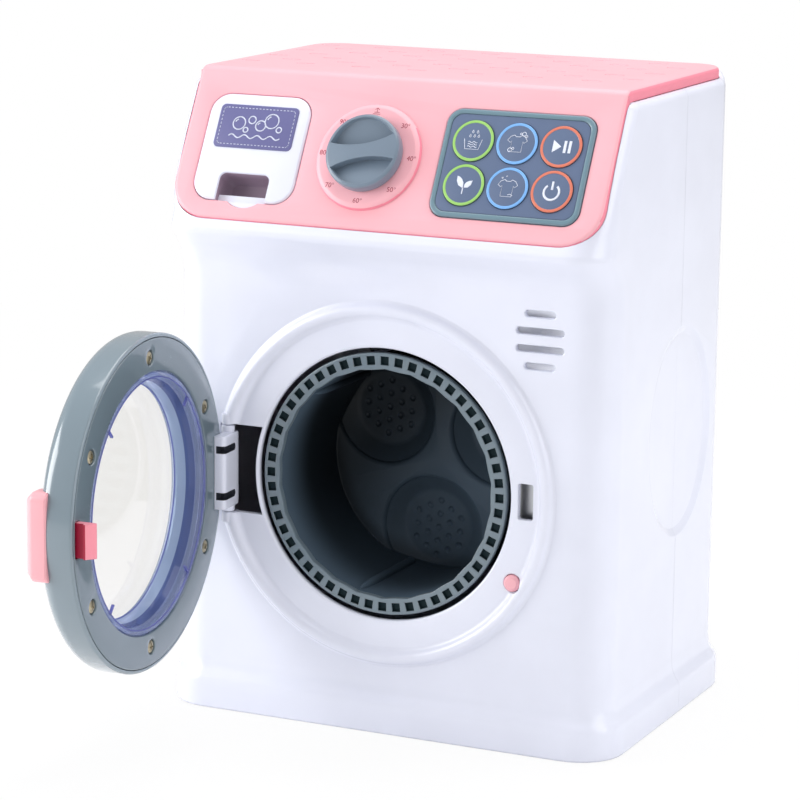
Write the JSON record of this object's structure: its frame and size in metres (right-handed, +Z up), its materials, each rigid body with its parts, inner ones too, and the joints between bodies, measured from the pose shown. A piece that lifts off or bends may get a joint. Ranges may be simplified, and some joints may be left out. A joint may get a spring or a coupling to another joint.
{
  "type": "toy washing machine",
  "caption": "Front-loading toy washing machine with a hinged porthole door, turning drum, sloped control panel, dial, keys and soap drawer",
  "frame": {"origin": "middle of the underside, where the plinth stands on the floor", "axes": "+X to the right seen from the front, +Y to the back, +Z up; the door is on the -Y side"},
  "size_m": [0.19, 0.2648, 0.251],
  "materials": {
    "white_plastic": "glossy injection-moulded shell",
    "pink_plastic": "glossy pink moulding",
    "slate_plastic": "satin slate-grey moulding",
    "navy_plastic": "dark printed key pad",
    "steel": "zinc-plated steel",
    "label": "printed sticker",
    "board": "circuit board",
    "rubber_dome": "silicone domes",
    "black_plastic": "matte black",
    "clear_plastic": "clear moulding",
    "brass_plated": "yellow-passivated screw heads",
    "bronze": "sintered bearing",
    "cell_wrap": "printed cell sleeve"
  },
  "bodies": {
    "cabinet": {"front_shell": "white_plastic", "back_shell": "white_plastic", "case_screws": "steel", "top_cover": "pink_plastic", "drawer_housing": "white_plastic", "rotary_switch": "slate_plastic", "pad_bezel": "slate_plastic", "pad_plate": "navy_plastic", "control_board": "board", "key_switches": "rubber_dome", "speaker": "black_plastic", "door_switch": "black_plastic", "latch_keeper": "steel", "hinge_pin": "steel", "drum_bearing": "bronze", "bearing_plate": "white_plastic", "plate_screws": "steel", "motor": "steel", "battery_box": "white_plastic", "battery_contacts": "steel", "battery_cells": "cell_wrap"},
    "drawer_body": {"drawer": "white_plastic", "drawer_label": "label"},
    "knob_body": {"knob": "slate_plastic", "click_wheel": "white_plastic"},
    "wash_key": {"key_1": "navy_plastic"},
    "shirt_key": {"key_2": "navy_plastic"},
    "play_key": {"key_3": "navy_plastic"},
    "eco_key": {"key_4": "navy_plastic"},
    "rinse_key": {"key_5": "navy_plastic"},
    "power_key": {"key_6": "navy_plastic"},
    "button_body": {"door_button": "pink_plastic"},
    "door_body": {"hinge_arm": "white_plastic", "door_inner_ring": "slate_plastic", "door_outer_ring": "slate_plastic", "door_window": "clear_plastic", "door_screws": "brass_plated", "door_handle": "pink_plastic"},
    "drum_body": {"drum": "slate_plastic", "drum_ring": "slate_plastic", "drum_shaft": "steel", "drum_gear": "white_plastic", "shaft_collar": "steel"},
    "pinion_body": {"motor_pinion": "white_plastic"},
    "lid_body": {"battery_cover": "white_plastic", "battery_screw": "steel"}
  },
  "joints": [
    {"name": "door_hinge", "type": "hinge", "parent": "cabinet", "child": "door_body", "pos_m": [-0.066, -0.0655, 0.0975], "axis": [0, 0, 1], "range_deg": [-3, 86.6]},
    {"name": "drum_spin", "type": "hinge", "parent": "cabinet", "child": "drum_body", "pos_m": [0, -0.04, 0.0975], "axis": [0, -1, 0], "continuous": true},
    {"name": "motor_spin", "type": "hinge", "parent": "cabinet", "child": "pinion_body", "pos_m": [0.01819, 0, 0.06329], "axis": [0, -1, 0], "continuous": true},
    {"name": "knob_turn", "type": "hinge", "parent": "cabinet", "child": "knob_body", "pos_m": [-0.0092, -0.06014, 0.22182], "axis": [0, -0.8788, 0.4772], "continuous": true},
    {"name": "drawer_slide", "type": "slide", "parent": "cabinet", "child": "drawer_body", "axis": [0, -0.8788, 0.4772], "range_m": [0, 0.03]},
    {"name": "wash_key_press", "type": "slide", "parent": "cabinet", "child": "wash_key", "axis": [0, 0.8788, -0.4772], "range_m": [0, 0.0008], "stiffness_N_per_m": 400, "springref_m": -0.0004},
    {"name": "shirt_key_press", "type": "slide", "parent": "cabinet", "child": "shirt_key", "axis": [0, 0.8788, -0.4772], "range_m": [0, 0.0008], "stiffness_N_per_m": 400, "springref_m": -0.0004},
    {"name": "play_key_press", "type": "slide", "parent": "cabinet", "child": "play_key", "axis": [0, 0.8788, -0.4772], "range_m": [0, 0.0008], "stiffness_N_per_m": 400, "springref_m": -0.0004},
    {"name": "eco_key_press", "type": "slide", "parent": "cabinet", "child": "eco_key", "axis": [0, 0.8788, -0.4772], "range_m": [0, 0.0008], "stiffness_N_per_m": 400, "springref_m": -0.0004},
    {"name": "rinse_key_press", "type": "slide", "parent": "cabinet", "child": "rinse_key", "axis": [0, 0.8788, -0.4772], "range_m": [0, 0.0008], "stiffness_N_per_m": 400, "springref_m": -0.0004},
    {"name": "power_key_press", "type": "slide", "parent": "cabinet", "child": "power_key", "axis": [0, 0.8788, -0.4772], "range_m": [0, 0.0008], "stiffness_N_per_m": 400, "springref_m": -0.0004},
    {"name": "door_button_press", "type": "slide", "parent": "cabinet", "child": "button_body", "axis": [0, 1, 0], "range_m": [0, 0.001], "stiffness_N_per_m": 400, "springref_m": -0.0004},
    {"name": "lid_lift", "type": "slide", "parent": "cabinet", "child": "lid_body", "axis": [0, 1, 0], "range_m": [0, 0.03]}
  ],
  "couplings": [
    {"joint": "motor_spin", "follows": "drum_spin", "ratio": -3.4286}
  ]
}
